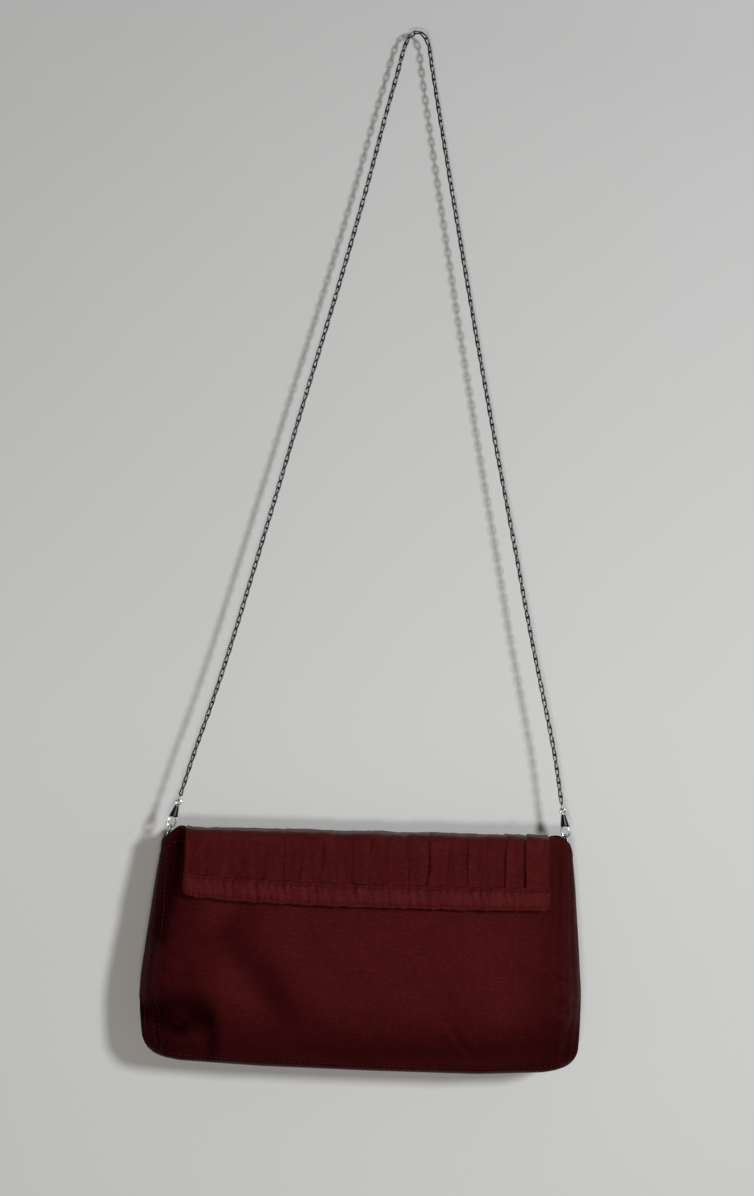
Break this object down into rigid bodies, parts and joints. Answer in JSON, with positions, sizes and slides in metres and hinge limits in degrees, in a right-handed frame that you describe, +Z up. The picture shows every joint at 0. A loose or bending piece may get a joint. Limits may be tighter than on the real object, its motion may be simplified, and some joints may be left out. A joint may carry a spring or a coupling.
{
  "type": "clutch bag",
  "caption": "Soft cloth clutch bag with a pleated fold-over flap and gathered hem band, hung by a twisted chain strap on snap hooks.",
  "frame": {"origin": "inside of the strap's topmost bend, where the strap hangs on a peg", "axes": "+X along the bag's width, +Y towards its back, away from the flap, +Z up along the hanging strap"},
  "size_m": [0.273, 0.0468, 0.6433],
  "materials": {
    "cloth": "dull slubbed weave",
    "band_cloth": "gathered slubbed weave",
    "lining_cloth": "satin",
    "board": "matt",
    "nickel": "bright",
    "gunmetal": "satin"
  },
  "bodies": {
    "strap": {"strap_chain": "gunmetal", "left_end_link": "nickel", "right_end_link": "nickel", "left_swivel_eye": "nickel", "right_swivel_eye": "nickel"},
    "left_hook": {"left_hook": "gunmetal", "left_gate_pin": "nickel"},
    "left_gate": {"left_gate": "nickel"},
    "right_hook": {"right_hook": "gunmetal", "right_gate_pin": "nickel"},
    "right_gate": {"right_gate": "nickel"},
    "bag": {"front_panel": "cloth", "back_panel": "cloth", "left_gusset": "cloth", "right_gusset": "cloth", "base_panel": "cloth", "base_board": "board", "lining": "lining_cloth", "snap_socket": "nickel", "socket_washer": "nickel", "left_tab": "cloth", "right_tab": "cloth", "left_ring": "nickel", "right_ring": "nickel"},
    "flap": {"flap_lining": "lining_cloth", "flap_board": "board", "flap_face": "cloth", "flap_band": "band_cloth", "snap_stud": "nickel", "stud_washer": "nickel"}
  },
  "joints": [
    {"name": "bag_swing", "type": "hinge", "parent": "strap", "child": "bag", "pos_m": [-0.018, 0, -0.49456], "axis": [1, 0, 0], "range_deg": [-60, 60]},
    {"name": "flap_open", "type": "hinge", "parent": "bag", "child": "flap", "pos_m": [-0.018, 0.008, -0.4978], "axis": [-1, 0, 0], "range_deg": [0, 110]},
    {"name": "left_swivel", "type": "hinge", "parent": "strap", "child": "left_hook", "pos_m": [-0.14057, 0, -0.49464], "axis": [0.2878, 0, 0.9577], "range_deg": [-20, 20]},
    {"name": "right_swivel", "type": "hinge", "parent": "strap", "child": "right_hook", "pos_m": [0.10524, 0, -0.49448], "axis": [-0.1687, 0, 0.9857], "range_deg": [-20, 20]},
    {"name": "left_gate_open", "type": "hinge", "parent": "left_hook", "child": "left_gate", "pos_m": [-0.14078, 0, -0.48873], "axis": [0, -1, 0], "range_deg": [0, 25], "stiffness_Nm_per_rad": 0.02},
    {"name": "right_gate_open", "type": "hinge", "parent": "right_hook", "child": "right_gate", "pos_m": [0.10617, 0, -0.48864], "axis": [0, 1, 0], "range_deg": [0, 25], "stiffness_Nm_per_rad": 0.02}
  ]
}
